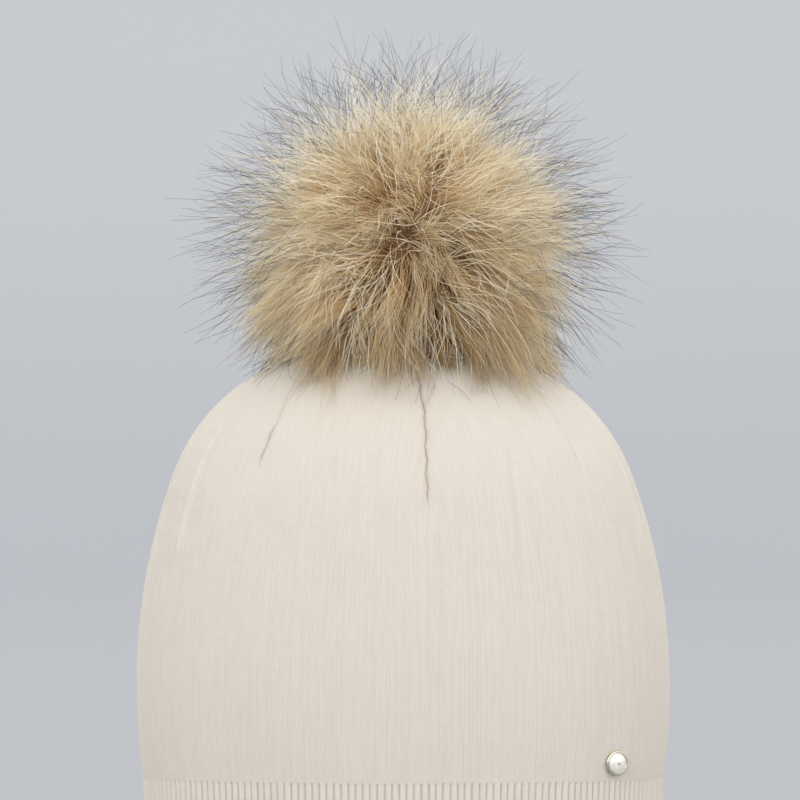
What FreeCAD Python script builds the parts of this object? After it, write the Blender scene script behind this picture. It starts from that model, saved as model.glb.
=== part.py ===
"""A knitted beanie with a fur pom pom that snaps on and off.

Frame: millimetres, +Z up through the crown, -Y towards the front, +X to the wearer's left.
The origin is the middle of the rim, on the surface that the rim stands on.
The cap is turned about Z as a round dome, and then flattened along Y to the oval of a head.
"""
import FreeCAD, Part
import math
import os
import Sketcher

os.makedirs("parts", exist_ok=True)
doc = FreeCAD.newDocument("PomPomBeanie")
Vector = FreeCAD.Vector
Z_AXIS = Vector(0, 0, 1)

# ---------------------------------------------------------------- driving dimensions

sheet = doc.addObject("Spreadsheet::Sheet", "Sheet")
DIMENSIONS = [
    # the cap's outline, before it is flattened
    ("half_width", "106.8"),
    ("widest_height", "88"),
    ("crown_height", "224"),
    ("side_radius", "250"),
    ("shoulder_radius", "76"),
    ("crown_radius", "380"),
    ("depth_ratio", "0.66"),
    # the knit's layers
    ("shell_wall", "2.0"),
    ("layer_gap", "0.8"),
    ("lining_wall", "1.5"),
    ("rib_height", "52"),
    ("rim_half_width", "101.5"),
    ("rib_wall", "4.4"),
    ("rib_fold_radius", "2.1"),
    ("rim_trim", "0.4"),
    # seams and darts
    ("seam_thread_radius", "0.2"),
    ("seam_rise", "1"),
    ("dart_count", "8"),
    ("dart_phase", "6"),
    ("dart_width", "1.6"),
    ("dart_wall", "0.5"),
    ("dart_inner_reach", "18"),
    ("outer_dart_end", "166"),
    ("lining_dart_end", "146"),
    ("gather_radius", "10"),
    # the blank care label inside the back
    ("label_width", "30"),
    ("label_length", "41"),
    ("label_wall", "0.4"),
    ("label_depth", "62.6"),
    ("label_top", "53"),
    ("label_tack_count", "7"),
    ("label_tack_length", "2.2"),
    # the metal badge, low on the front
    ("badge_x", "83.8"),
    ("badge_height", "58.9"),
    ("badge_turn", "31"),
    ("badge_radius", "4.9"),
    ("badge_cap_radius", "3.9"),
    ("badge_cap_rise", "1.1"),
    ("badge_stand_off", "1.1"),
    ("badge_body", "1.2"),
    ("badge_bead_radius", "0.8"),
    ("badge_post_radius", "0.8"),
    ("badge_post_length", "7.1"),
    ("badge_washer_radius", "4.0"),
    ("badge_washer_wall", "0.7"),
    # the snap that holds the pom pom
    ("snap_hole_radius", "2.2"),
    ("snap_cap_radius", "7"),
    ("snap_cap_wall", "0.8"),
    ("snap_post_radius", "1.2"),
    ("patch_radius", "16"),
    ("patch_wall", "1.2"),
    ("patch_drop", "6.2"),
    ("stud_flange_radius", "6"),
    ("stud_flange_wall", "0.6"),
    ("stud_neck_radius", "2.4"),
    ("stud_head_radius", "2.9"),
    ("stud_rise", "3.1"),
    ("spring_radius", "3.35"),
    ("spring_wire_radius", "0.35"),
    ("spring_rise", "1.9"),
    ("socket_radius", "7"),
    ("socket_mouth_radius", "3.4"),
    ("socket_cavity_radius", "4.2"),
    ("socket_lift", "1.0"),
    ("socket_rise", "3.9"),
    ("socket_wall", "0.7"),
    ("backing_radius", "8"),
    ("backing_wall", "1.2"),
    ("rivet_radius", "1.2"),
    ("rivet_head_radius", "2.6"),
    ("rivet_head_wall", "0.5"),
    # the pom pom
    ("lean_height", "231"),
    ("pom_centre_height", "266"),
    ("fur_radius", "74"),
    ("fur_bottom", "229.5"),
    ("pelt_radius", "26"),
    ("pelt_wall", "1.6"),
    ("pelt_mouth_radius", "3"),
    ("fur_clearance", "0.3"),
    ("fur_channel_radius", "5"),
    ("fur_recess_radius", "10.5"),
    ("fur_recess_top", "237"),
    ("shank_radius", "1.5"),
    ("gather_ring_radius", "3.6"),
    ("gather_wire_radius", "0.45"),
    ("closing_stitch_count", "6"),
    ("closing_stitch_radius", "0.3"),
]
for row, (alias, value) in enumerate(DIMENSIONS, start=1):
    sheet.set(f"A{row}", alias)
    sheet.set(f"B{row}", value)
    sheet.setAlias(f"B{row}", alias)

DERIVED = [
    # the side arc's centre, and the outline where the rib band begins
    ("side_centre_x", "=half_width - side_radius"),
    ("crown_centre_z", "=crown_height - crown_radius"),
    ("shell_foot_x", "=side_centre_x + sqrt(side_radius ^ 2 - (widest_height - rib_height) ^ 2)"),
    ("lining_offset", "=shell_wall + layer_gap"),
    ("gap_middle", "=shell_wall + layer_gap / 2"),
    ("dart_offset", "=gap_middle - dart_wall / 2"),
    ("inside_offset", "=lining_offset + lining_wall"),
    # where the seam threads run, just above the rib band
    ("seam_height", "=rib_height + seam_rise"),
    (
        "gap_seam_x",
        "=side_centre_x + sqrt((side_radius - gap_middle) ^ 2 - (widest_height - seam_height) ^ 2)",
    ),
    ("patch_top", "=crown_height - patch_drop"),
    ("stud_bottom", "=crown_height + 0.1"),
    ("socket_bottom", "=crown_height + socket_lift"),
    ("socket_top", "=socket_bottom + socket_rise"),
    ("rivet_top", "=socket_top + 0.05 + backing_wall + rivet_head_wall"),
    ("pelt_bottom", "=pom_centre_height - pelt_radius"),
    ("shank_bottom", "=lean_height + 0.2"),
    ("shank_top", "=pelt_bottom - 0.5"),
]
first_derived = len(DIMENSIONS) + 1
for row, (alias, formula) in enumerate(DERIVED, start=first_derived):
    sheet.set(f"A{row}", alias)
    sheet.set(f"B{row}", formula)
    sheet.setAlias(f"B{row}", alias)
doc.recompute()


def size(alias):
    """The value of one cell, in millimetres, degrees or a plain count."""
    return float(getattr(sheet, alias))


# ---------------------------------------------------------------- the cap's outline

side_centre = Vector(size("side_centre_x"), size("widest_height"), 0)
crown_centre = Vector(0, size("crown_centre_z"), 0)


def shoulder_centre():
    """The centre of the arc that touches the side arc and the crown arc from inside."""
    from_crown = size("crown_radius") - size("shoulder_radius")
    from_side = size("side_radius") - size("shoulder_radius")
    between = side_centre - crown_centre
    apart = between.Length
    along = (from_crown**2 - from_side**2 + apart**2) / (2 * apart)
    across = math.sqrt(from_crown**2 - along**2)
    forward = between / apart
    return crown_centre + forward * along + Vector(forward.y, -forward.x, 0) * across


def angle_from(start, end):
    """The direction from one point of a sketch to another, in radians."""
    return math.atan2(end.y - start.y, end.x - start.x)


def origin_plane(body, role):
    """One of a body's own origin planes or axes."""
    return next(f for f in body.Origin.OriginFeatures if f.Role == role)


def new_sketch(body, name):
    """A sketch on the body's XZ plane, whose vertical axis is the cap's axis."""
    sketch = body.newObject("Sketcher::SketchObject", name)
    sketch.AttachmentSupport = [(origin_plane(body, "XZ_Plane"), "")]
    sketch.MapMode = "FlatFace"
    return sketch


def value_of(expression):
    """A number for an expression in the sheet's aliases, used as a sketch's first guess."""
    return float(sheet.evalExpression(expression.replace("Sheet.", "")))


def bind(sketch, kind, *where, expression):
    """Adds a dimension to a sketch, driven by the sheet."""
    index = sketch.addConstraint(Sketcher.Constraint(kind, *where, value_of(expression)))
    sketch.setExpression(f"Constraints[{index}]", expression)


def revolve(body, sketch, name):
    """Turns a sketch fully about the cap's axis."""
    turned = body.newObject("PartDesign::Revolution", name)
    turned.Profile = sketch
    turned.ReferenceAxis = (sketch, ["V_Axis"])
    turned.Angle = 360
    body.Tip = turned
    return turned


ORIGIN_POINT = (-1, 1)
START, END, CENTRE = 1, 2, 3


def cap_layer(name, offset, wall, foot, hole):
    """One layer of the cap: the outline moved inwards by offset, and wall thick.

    It runs from the height foot up to a round hole about the axis. All four are expressions.
    """
    body = doc.addObject("PartDesign::Body", name)
    sketch = new_sketch(body, f"{name}_outline")
    shoulder = shoulder_centre()
    foot_turn = math.asin((value_of(foot) - side_centre.y) / (size("side_radius") - value_of(offset)))
    low_turn = angle_from(side_centre, shoulder)
    high_turn = angle_from(crown_centre, shoulder)
    hole_turn = math.acos(value_of(hole) / size("crown_radius"))
    arcs = [
        (side_centre, "side_radius", foot_turn, low_turn),
        (shoulder, "shoulder_radius", low_turn, high_turn),
        (crown_centre, "crown_radius", high_turn, hole_turn),
    ]
    faces = []
    for inwards in (offset, f"{offset} + Sheet.{wall}"):
        chain = []
        for centre, radius, begin, finish in arcs:
            reach = f"Sheet.{radius} - ({inwards})"
            circle = Part.Circle(centre, Z_AXIS, value_of(reach))
            arc = sketch.addGeometry(Part.ArcOfCircle(circle, begin, finish))
            bind(sketch, "Radius", arc, expression=reach)
            chain.append(arc)
        for lower, upper in zip(chain, chain[1:]):
            sketch.addConstraint(Sketcher.Constraint("Tangent", lower, END, upper, START))
        faces.append(chain)
    outer, inner = faces
    sketch.addConstraint(Sketcher.Constraint("PointOnObject", outer[2], CENTRE, -2))
    bind(sketch, "DistanceY", *ORIGIN_POINT, outer[2], CENTRE, expression="Sheet.crown_centre_z")
    bind(sketch, "DistanceX", *ORIGIN_POINT, outer[0], CENTRE, expression="Sheet.side_centre_x")
    bind(sketch, "DistanceY", *ORIGIN_POINT, outer[0], CENTRE, expression="Sheet.widest_height")
    for piece in (0, 2):
        sketch.addConstraint(Sketcher.Constraint("Coincident", outer[piece], CENTRE, inner[piece], CENTRE))
    closing_lines = []
    for piece, end in ((0, START), (2, END)):
        from_point = sketch.getPoint(outer[piece], end)
        to_point = sketch.getPoint(inner[piece], end)
        closing_lines.append(sketch.addGeometry(Part.LineSegment(from_point, to_point)))
    foot_line, hole_line = closing_lines
    for line, end_piece, end in ((foot_line, 0, START), (hole_line, 2, END)):
        sketch.addConstraint(Sketcher.Constraint("Coincident", line, START, outer[end_piece], end))
        sketch.addConstraint(Sketcher.Constraint("Coincident", line, END, inner[end_piece], end))
    sketch.addConstraint(Sketcher.Constraint("Horizontal", foot_line))
    sketch.addConstraint(Sketcher.Constraint("Vertical", hole_line))
    bind(sketch, "DistanceY", *ORIGIN_POINT, foot_line, START, expression=foot)
    bind(sketch, "DistanceX", *ORIGIN_POINT, hole_line, START, expression=hole)
    revolve(body, sketch, f"{name}_turned")
    return body


def oval(name, base):
    """A round piece of the cap, flattened along Y to the head's oval."""
    squeezed = doc.addObject("Part::Scale", name)
    squeezed.Base = base
    squeezed.Uniform = False
    squeezed.XScale = 1
    squeezed.ZScale = 1
    squeezed.setExpression("YScale", "Sheet.depth_ratio")
    return squeezed


def flattened(node, base):
    """The sub-part: a round piece, flattened to the oval."""
    return keep(node, oval(f"{node}_oval", base))


parts = {}


def keep(node, feature):
    """Names a feature as the finished sub-part of that node."""
    feature.Label = node
    parts[node] = feature
    return feature


# ---------------------------------------------------------------- knitted layers

def make_outer_shell():
    flattened(
        "outer_shell",
        cap_layer("shell_round", "0", "shell_wall", "Sheet.rib_height", "Sheet.snap_hole_radius"),
    )


def make_lining():
    flattened(
        "lining",
        cap_layer(
            "lining_round",
            "Sheet.lining_offset",
            "lining_wall",
            "Sheet.rib_height",
            "Sheet.snap_hole_radius",
        ),
    )


def polygon(sketch, corners):
    """A closed outline through the corners, each bound to a pair of expressions for X and Z."""
    guesses = [Vector(guess_x, guess_z, 0) for _, _, guess_x, guess_z in corners]
    count = len(corners)
    lines = []
    for i in range(count):
        lines.append(sketch.addGeometry(Part.LineSegment(guesses[i], guesses[(i + 1) % count])))
    for i in range(count):
        sketch.addConstraint(Sketcher.Constraint("Coincident", lines[i - 1], END, lines[i], START))
        across, height, _, _ = corners[i]
        if across == "0":
            sketch.addConstraint(Sketcher.Constraint("PointOnObject", lines[i], START, -2))
        else:
            bind(sketch, "DistanceX", *ORIGIN_POINT, lines[i], START, expression=across)
        if height == "0":
            sketch.addConstraint(Sketcher.Constraint("PointOnObject", lines[i], START, -1))
        else:
            bind(sketch, "DistanceY", *ORIGIN_POINT, lines[i], START, expression=height)


def turned_polygon(name, corners):
    """A body turned about the axis from a polygon of (X, Z) expressions."""
    body = doc.addObject("PartDesign::Body", name)
    sketch = new_sketch(body, f"{name}_outline")
    polygon(sketch, [(x, z, value_of(x), value_of(z)) for x, z in corners])
    revolve(body, sketch, f"{name}_turned")
    return body


def make_rib_band():
    """The ribbed band, knitted as one tube and folded double at the rim, which is level below.

    It is turned a little too long, and everything below the rim's height is taken away.
    """
    body = turned_polygon(
        "rib_round",
        [
            ("Sheet.rim_half_width - Sheet.rib_wall", "0"),
            ("Sheet.rim_half_width", "0"),
            ("Sheet.shell_foot_x", "Sheet.rib_height + Sheet.rim_trim"),
            ("Sheet.shell_foot_x - Sheet.rib_wall", "Sheet.rib_height + Sheet.rim_trim"),
        ],
    )
    doc.recompute()
    turned = body.Tip
    rim_edges = []
    for number, edge in enumerate(turned.Shape.Edges, start=1):
        if edge.BoundBox.ZMax < 0.01 and edge.Closed:
            rim_edges.append(f"Edge{number}")
    fold = body.newObject("PartDesign::Fillet", "rib_fold")
    fold.Base = (turned, rim_edges)
    fold.setExpression("Radius", "Sheet.rib_fold_radius")
    body.Tip = fold
    lowered = oval("rib_oval", body)
    lowered.setExpression("Placement.Base.z", "-Sheet.rim_trim")
    below = doc.addObject("Part::Box", "below_rim")
    below.setExpression("Length", "3 * Sheet.half_width")
    below.setExpression("Width", "3 * Sheet.half_width")
    below.setExpression("Height", "2 * Sheet.rim_trim")
    below.setExpression("Placement.Base.x", "-1.5 * Sheet.half_width")
    below.setExpression("Placement.Base.y", "-1.5 * Sheet.half_width")
    below.setExpression("Placement.Base.z", "-2 * Sheet.rim_trim")
    trimmed = doc.addObject("Part::Cut", "rib_trimmed")
    trimmed.Base = lowered
    trimmed.Tool = below
    keep("rib_band", trimmed)


# ---------------------------------------------------------------- seams and darts

def thread_ring(node, radius, height):
    """A thread that runs round the cap. Radius and height are expressions."""
    ring = doc.addObject("Part::Torus", f"{node}_round")
    ring.setExpression("Radius1", radius)
    ring.setExpression("Radius2", "Sheet.seam_thread_radius")
    flattened(node, ring).setExpression("Placement.Base.z", height)


def make_ring_seams():
    thread_ring("shell_to_rib_seam", "Sheet.gap_seam_x", "Sheet.seam_height")
    thread_ring(
        "lining_to_rib_seam",
        "Sheet.shell_foot_x - Sheet.inside_offset - 2 * Sheet.seam_thread_radius",
        "Sheet.seam_height",
    )
    thread_ring(
        "crown_gather_thread",
        "Sheet.gather_radius",
        "Sheet.crown_centre_z - Sheet.gap_middle"
        " + sqrt(Sheet.crown_radius ^ 2 - Sheet.gather_radius ^ 2)",
    )


def make_dart_seams(node, lower_end, half_steps):
    """The sewn edges of the darts, in the gap between the two layers.

    Each is a strip of a thin layer, cut out by an upright box that points away from the axis.
    The darts start half_steps half spacings round from the first one.
    """
    thin = cap_layer(
        f"{node}_layer",
        "Sheet.dart_offset",
        "dart_wall",
        f"Sheet.{lower_end}",
        "Sheet.dart_inner_reach",
    )
    boxes = []
    for k in range(int(size("dart_count"))):
        box = doc.addObject("Part::Box", f"{node}_cutter{k}")
        box.setExpression("Length", "Sheet.dart_width")
        box.setExpression("Width", "Sheet.half_width")
        box.setExpression("Height", "Sheet.crown_height")
        turn = f"(180 + Sheet.dart_phase + 360 / Sheet.dart_count * ({k} + {half_steps} / 2))"
        box.Placement.Rotation = FreeCAD.Rotation(Z_AXIS, 0)
        box.setExpression("Placement.Rotation.Angle", turn)
        box.setExpression("Placement.Base.x", f"-Sheet.dart_width / 2 * cos({turn})")
        box.setExpression("Placement.Base.y", f"-Sheet.dart_width / 2 * sin({turn})")
        boxes.append(box)
    cutters = doc.addObject("Part::Compound", f"{node}_cutters")
    cutters.Links = boxes
    strips = doc.addObject("Part::Common", f"{node}_round")
    strips.Base = thin
    strips.Tool = cutters
    flattened(node, strips)


# ---------------------------------------------------------------- care label

def make_care_label():
    label = doc.addObject("Part::Box", "care_label_cloth")
    label.setExpression("Length", "Sheet.label_width")
    label.setExpression("Width", "Sheet.label_wall")
    label.setExpression("Height", "Sheet.label_length")
    label.setExpression("Placement.Base.x", "-Sheet.label_width / 2")
    label.setExpression("Placement.Base.y", "Sheet.label_depth")
    label.setExpression("Placement.Base.z", "Sheet.label_top - Sheet.label_length")
    keep("care_label", label)
    tacks = []
    count = int(size("label_tack_count"))
    for k in range(count):
        tack = doc.addObject("Part::Cylinder", f"label_tack{k}")
        tack.setExpression("Radius", "Sheet.seam_thread_radius")
        tack.setExpression("Height", "Sheet.label_tack_length")
        tack.Placement.Rotation = FreeCAD.Rotation(Vector(1, 0, 0), -90)
        share = (k + 0.5) / count - 0.5
        tack.setExpression("Placement.Base.x", f"{share} * Sheet.label_width")
        tack.setExpression("Placement.Base.y", "Sheet.label_depth")
        tack.setExpression("Placement.Base.z", "Sheet.label_top + Sheet.seam_thread_radius + 0.05")
        tacks.append(tack)
    row = doc.addObject("Part::Compound", "label_tacks")
    row.Links = tacks
    keep("care_label_stitches", row)


# ---------------------------------------------------------------- badge

def badge_place():
    """Where the badge's axis meets the knit, with its local Z pointing out of the cap."""
    across = size("badge_x")
    drop = size("badge_height") - size("widest_height")
    here = size("side_centre_x") + math.sqrt(size("side_radius") ** 2 - drop**2)
    depth = -size("depth_ratio") * math.sqrt(here**2 - across**2)
    turn = math.radians(size("badge_turn"))
    outwards = Vector(math.sin(turn), -math.cos(turn), 0)
    return FreeCAD.Placement(
        Vector(across, depth, size("badge_height")), FreeCAD.Rotation(Z_AXIS, outwards)
    )


def badge_piece(node, corners):
    """A small metal piece turned about the badge's axis, from a polygon of expressions."""
    body = turned_polygon(f"{node}_turned", corners)
    body.Placement = badge_place()
    keep(node, body)


def make_badge():
    back = "Sheet.badge_stand_off"
    front = "Sheet.badge_stand_off + Sheet.badge_body"
    inner = "Sheet.badge_cap_radius + 0.02"
    badge_piece(
        "badge_bezel",
        [
            (inner, back),
            ("Sheet.badge_radius", back),
            ("Sheet.badge_radius", f"{front} - 0.3"),
            ("Sheet.badge_radius - 0.3", front),
            (inner, front),
        ],
    )
    bead = "Sheet.badge_bead_radius"
    crest = f"{front} + Sheet.badge_cap_rise"
    badge_piece(
        "badge_cap",
        [
            ("0", back),
            ("Sheet.badge_cap_radius", back),
            ("Sheet.badge_cap_radius", front),
            (f"Sheet.badge_cap_radius - {bead}", f"{front} + Sheet.badge_cap_rise * 0.62"),
            (f"{bead} * 2", f"{crest} - 0.1"),
            ("0", crest),
        ],
    )
    badge_piece(
        "badge_center",
        [
            ("0", f"{crest} + 0.02"),
            (bead, f"{crest} + 0.02"),
            (f"{bead} * 0.8", f"{crest} + 0.3"),
            ("0", f"{crest} + 0.45"),
        ],
    )
    foot = f"{back} - Sheet.badge_post_length"
    badge_piece(
        "badge_post",
        [
            ("0", foot),
            ("Sheet.badge_post_radius", foot),
            ("Sheet.badge_post_radius", f"{back} - 0.01"),
            ("0", f"{back} - 0.01"),
        ],
    )
    bore = "Sheet.badge_post_radius + 0.02"
    badge_piece(
        "badge_backing_washer",
        [
            (bore, foot),
            ("Sheet.badge_washer_radius", foot),
            ("Sheet.badge_washer_radius", f"{foot} + Sheet.badge_washer_wall"),
            (bore, f"{foot} + Sheet.badge_washer_wall"),
        ],
    )


# ---------------------------------------------------------------- snap

def make_snap():
    """The stud riveted through the crown, and the socket on the pom pom that grips it."""
    patch_top = "Sheet.patch_top"
    patch_bottom = f"{patch_top} - Sheet.patch_wall"
    bore = "Sheet.snap_post_radius + 0.3"
    keep(
        "crown_patch",
        turned_polygon(
            "crown_patch_disc",
            [
                (bore, patch_bottom),
                ("Sheet.patch_radius", patch_bottom),
                ("Sheet.patch_radius", patch_top),
                (bore, patch_top),
            ],
        ),
    )
    cap_top = f"{patch_bottom} - 0.1"
    keep(
        "snap_post_cap",
        turned_polygon(
            "snap_post_cap_turned",
            [
                ("0", f"{cap_top} - Sheet.snap_cap_wall"),
                ("Sheet.snap_cap_radius - 0.8", f"{cap_top} - Sheet.snap_cap_wall"),
                ("Sheet.snap_cap_radius", cap_top),
                ("Sheet.snap_post_radius", cap_top),
                ("Sheet.snap_post_radius", "Sheet.stud_bottom - 0.02"),
                ("0", "Sheet.stud_bottom - 0.02"),
            ],
        ),
    )
    bottom = "Sheet.stud_bottom"
    keep(
        "snap_stud",
        turned_polygon(
            "snap_stud_turned",
            [
                ("0", bottom),
                ("Sheet.stud_flange_radius", bottom),
                ("Sheet.stud_flange_radius", f"{bottom} + Sheet.stud_flange_wall * 0.6"),
                ("Sheet.stud_flange_radius - 1", f"{bottom} + Sheet.stud_flange_wall"),
                ("Sheet.stud_neck_radius", f"{bottom} + Sheet.stud_flange_wall"),
                ("Sheet.stud_neck_radius", f"{bottom} + Sheet.stud_rise * 0.6"),
                ("Sheet.stud_head_radius", f"{bottom} + Sheet.stud_rise * 0.75"),
                ("Sheet.stud_head_radius - 0.5", f"{bottom} + Sheet.stud_rise"),
                ("0", f"{bottom} + Sheet.stud_rise"),
            ],
        ),
    )
    spring = doc.addObject("Part::Torus", "socket_spring_ring")
    spring.setExpression("Radius1", "Sheet.spring_radius")
    spring.setExpression("Radius2", "Sheet.spring_wire_radius")
    spring.setExpression("Placement.Base.z", "Sheet.crown_height + Sheet.spring_rise")
    keep("socket_spring", spring)
    low = "Sheet.socket_bottom"
    high = "Sheet.socket_top"
    rivet_bore = "Sheet.rivet_radius + 0.05"
    keep(
        "snap_socket",
        turned_polygon(
            "snap_socket_turned",
            [
                ("Sheet.socket_mouth_radius", low),
                ("Sheet.socket_radius - 0.6", low),
                ("Sheet.socket_radius", f"{low} + 0.5"),
                ("Sheet.socket_radius", f"{high} - 0.5"),
                ("Sheet.socket_radius - 0.5", high),
                (rivet_bore, high),
                (rivet_bore, f"{high} - Sheet.socket_wall"),
                ("Sheet.socket_cavity_radius", f"{high} - Sheet.socket_wall"),
                ("Sheet.socket_cavity_radius", f"{low} + 0.25"),
                ("Sheet.socket_mouth_radius", f"{low} + 0.25"),
            ],
        ),
    )
    backing_low = f"{high} + 0.03"
    backing_high = f"{backing_low} + Sheet.backing_wall"
    keep(
        "socket_backing_disc",
        turned_polygon(
            "socket_backing_turned",
            [
                (rivet_bore, backing_low),
                ("Sheet.backing_radius", backing_low),
                ("Sheet.backing_radius", backing_high),
                (rivet_bore, backing_high),
            ],
        ),
    )
    keep(
        "socket_rivet",
        turned_polygon(
            "socket_rivet_turned",
            [
                ("0", f"{high} - Sheet.socket_wall"),
                ("Sheet.rivet_radius", f"{high} - Sheet.socket_wall"),
                ("Sheet.rivet_radius", f"{backing_high} + 0.02"),
                ("Sheet.rivet_head_radius", f"{backing_high} + 0.02"),
                ("Sheet.rivet_head_radius - 0.6", "Sheet.rivet_top"),
                ("0", "Sheet.rivet_top"),
            ],
        ),
    )


# ---------------------------------------------------------------- pom pom

def ball(name, radius):
    """A sphere about the pom pom's centre. Radius is an expression."""
    sphere = doc.addObject("Part::Sphere", name)
    sphere.setExpression("Radius", radius)
    sphere.setExpression("Placement.Base.z", "Sheet.pom_centre_height")
    return sphere


def upright(name, radius, bottom, top):
    """A cylinder about the axis, from bottom to top. All three are expressions."""
    cylinder = doc.addObject("Part::Cylinder", name)
    cylinder.setExpression("Radius", radius)
    cylinder.setExpression("Height", f"({top}) - ({bottom})")
    cylinder.setExpression("Placement.Base.z", bottom)
    return cylinder


def cut(name, base, tools):
    """The base with every tool taken away."""
    joined = doc.addObject("Part::MultiFuse", f"{name}_tools")
    joined.Shapes = tools
    result = doc.addObject("Part::Cut", name)
    result.Base = base
    result.Tool = joined
    return result


def make_pom():
    pelt = cut(
        "pelt_shell",
        ball("pelt_outside", "Sheet.pelt_radius"),
        [
            ball("pelt_inside", "Sheet.pelt_radius - Sheet.pelt_wall"),
            upright(
                "pelt_mouth",
                "Sheet.pelt_mouth_radius",
                "Sheet.pelt_bottom - 1",
                "Sheet.pom_centre_height",
            ),
        ],
    )
    keep("pom_pelt", pelt)
    keep("pom_stuffing", ball("stuffing_ball", "Sheet.pelt_radius - Sheet.pelt_wall - 0.2"))
    fur = cut(
        "fur_coat",
        ball("fur_outside", "Sheet.fur_radius"),
        [
            upright(
                "fur_underside",
                "Sheet.fur_radius + 1",
                "Sheet.pom_centre_height - Sheet.fur_radius - 1",
                "Sheet.fur_bottom",
            ),
            ball("fur_cavity", "Sheet.pelt_radius + Sheet.fur_clearance"),
            upright(
                "fur_channel",
                "Sheet.fur_channel_radius",
                "Sheet.fur_bottom",
                "Sheet.pom_centre_height",
            ),
            upright(
                "fur_recess",
                "Sheet.fur_recess_radius",
                "Sheet.fur_bottom - 1",
                "Sheet.fur_recess_top",
            ),
        ],
    )
    keep("pom_fur", fur)
    keep("shank_thread", upright("shank", "Sheet.shank_radius", "Sheet.shank_bottom", "Sheet.shank_top"))
    ring = doc.addObject("Part::Torus", "pelt_gather_ring")
    ring.setExpression("Radius1", "Sheet.gather_ring_radius")
    ring.setExpression("Radius2", "Sheet.gather_wire_radius")
    ring.setExpression("Placement.Base.z", "Sheet.pelt_bottom - 0.8")
    keep("gathering_thread", ring)
    stitches = []
    for k in range(int(size("closing_stitch_count"))):
        stitch = doc.addObject("Part::Cylinder", f"closing_stitch{k}")
        stitch.setExpression("Radius", "Sheet.closing_stitch_radius")
        stitch.setExpression("Height", "Sheet.gather_ring_radius + 0.8 - Sheet.shank_radius - 0.2")
        turn = 360 * k / size("closing_stitch_count")
        outwards = Vector(math.cos(math.radians(turn)), math.sin(math.radians(turn)), 0)
        stitch.Placement.Rotation = FreeCAD.Rotation(Z_AXIS, outwards)
        stitch.setExpression("Placement.Base.x", f"(Sheet.shank_radius + 0.2) * {outwards.x}")
        stitch.setExpression("Placement.Base.y", f"(Sheet.shank_radius + 0.2) * {outwards.y}")
        stitch.setExpression("Placement.Base.z", "Sheet.pelt_bottom - 2")
        stitches.append(stitch)
    bundle = doc.addObject("Part::Compound", "closing_stitch_bundle")
    bundle.Links = stitches
    keep("closing_stitches", bundle)


# ---------------------------------------------------------------- build, check and write

make_outer_shell()
make_lining()
make_rib_band()
make_ring_seams()
make_dart_seams("outer_dart_seams", "outer_dart_end", 0)
make_dart_seams("lining_dart_seams", "lining_dart_end", 1)
make_care_label()
make_badge()
make_snap()
make_pom()
doc.recompute()

faults = []
for item in doc.Objects:
    if "Invalid" in item.State or "Error" in item.State:
        faults.append(f"{item.Name}: {item.State}")
for node, feature in parts.items():
    shape = feature.Shape
    if shape.isNull() or not shape.isValid() or shape.Volume <= 0:
        faults.append(f"{node}: its shape is empty or not valid")
if faults:
    raise RuntimeError("; ".join(faults))

for node, feature in parts.items():
    box = feature.Shape.BoundBox
    print(
        f"{node}: {len(feature.Shape.Solids)} solids, {feature.Shape.Volume:.1f} mm3,"
        f" z {box.ZMin:.2f} to {box.ZMax:.2f}, x {box.XMin:.2f} to {box.XMax:.2f}"
    )
    feature.Shape.exportStep(f"parts/{node}.step")
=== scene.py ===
"""The looks of the pom pom beanie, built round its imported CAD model, in metres and in the same frame.

+Z is up through the crown, -Y is the front of the hat and +X is its width, towards the badge.
"""
import math

import bmesh
import bpy
import numpy as np
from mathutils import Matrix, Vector


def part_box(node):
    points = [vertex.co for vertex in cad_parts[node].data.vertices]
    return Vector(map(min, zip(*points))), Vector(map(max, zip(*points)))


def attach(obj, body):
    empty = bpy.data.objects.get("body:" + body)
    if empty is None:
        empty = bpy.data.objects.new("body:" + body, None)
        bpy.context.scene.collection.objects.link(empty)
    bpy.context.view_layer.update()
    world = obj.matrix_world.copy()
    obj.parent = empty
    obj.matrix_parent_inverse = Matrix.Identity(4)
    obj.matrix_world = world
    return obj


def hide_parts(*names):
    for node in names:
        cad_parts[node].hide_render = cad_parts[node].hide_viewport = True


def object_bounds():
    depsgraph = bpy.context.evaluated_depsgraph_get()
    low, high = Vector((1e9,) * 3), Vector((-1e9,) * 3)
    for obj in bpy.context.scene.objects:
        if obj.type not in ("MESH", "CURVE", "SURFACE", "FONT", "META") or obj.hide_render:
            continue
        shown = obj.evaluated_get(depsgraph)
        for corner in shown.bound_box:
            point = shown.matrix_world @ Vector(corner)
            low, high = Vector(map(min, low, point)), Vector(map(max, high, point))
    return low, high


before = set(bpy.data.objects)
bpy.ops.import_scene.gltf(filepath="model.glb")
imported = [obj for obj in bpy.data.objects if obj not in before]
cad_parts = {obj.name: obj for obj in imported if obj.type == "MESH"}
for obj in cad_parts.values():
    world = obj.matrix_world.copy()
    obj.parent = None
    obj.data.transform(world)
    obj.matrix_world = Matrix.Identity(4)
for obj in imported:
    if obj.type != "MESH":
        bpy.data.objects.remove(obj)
cad_low, cad_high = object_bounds()

MM = 0.001
TURN = 2 * math.pi
WELD_DISTANCE = 0.004 * MM
scene = bpy.context.scene


# ---------------------------------------------------------------- meshes from arrays

def quads_of_grid(rows, columns, closed=True):
    """Corner numbers of a grid's quads. The columns run round it, and rows run along it."""
    across = np.arange(columns if closed else columns - 1)
    beside = (across + 1) % columns
    low = np.arange(rows - 1)[:, None] * columns
    corners = np.stack(
        [low + across, low + beside, low + columns + beside, low + columns + across], axis=-1
    )
    return corners.reshape(-1, 4)


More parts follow.
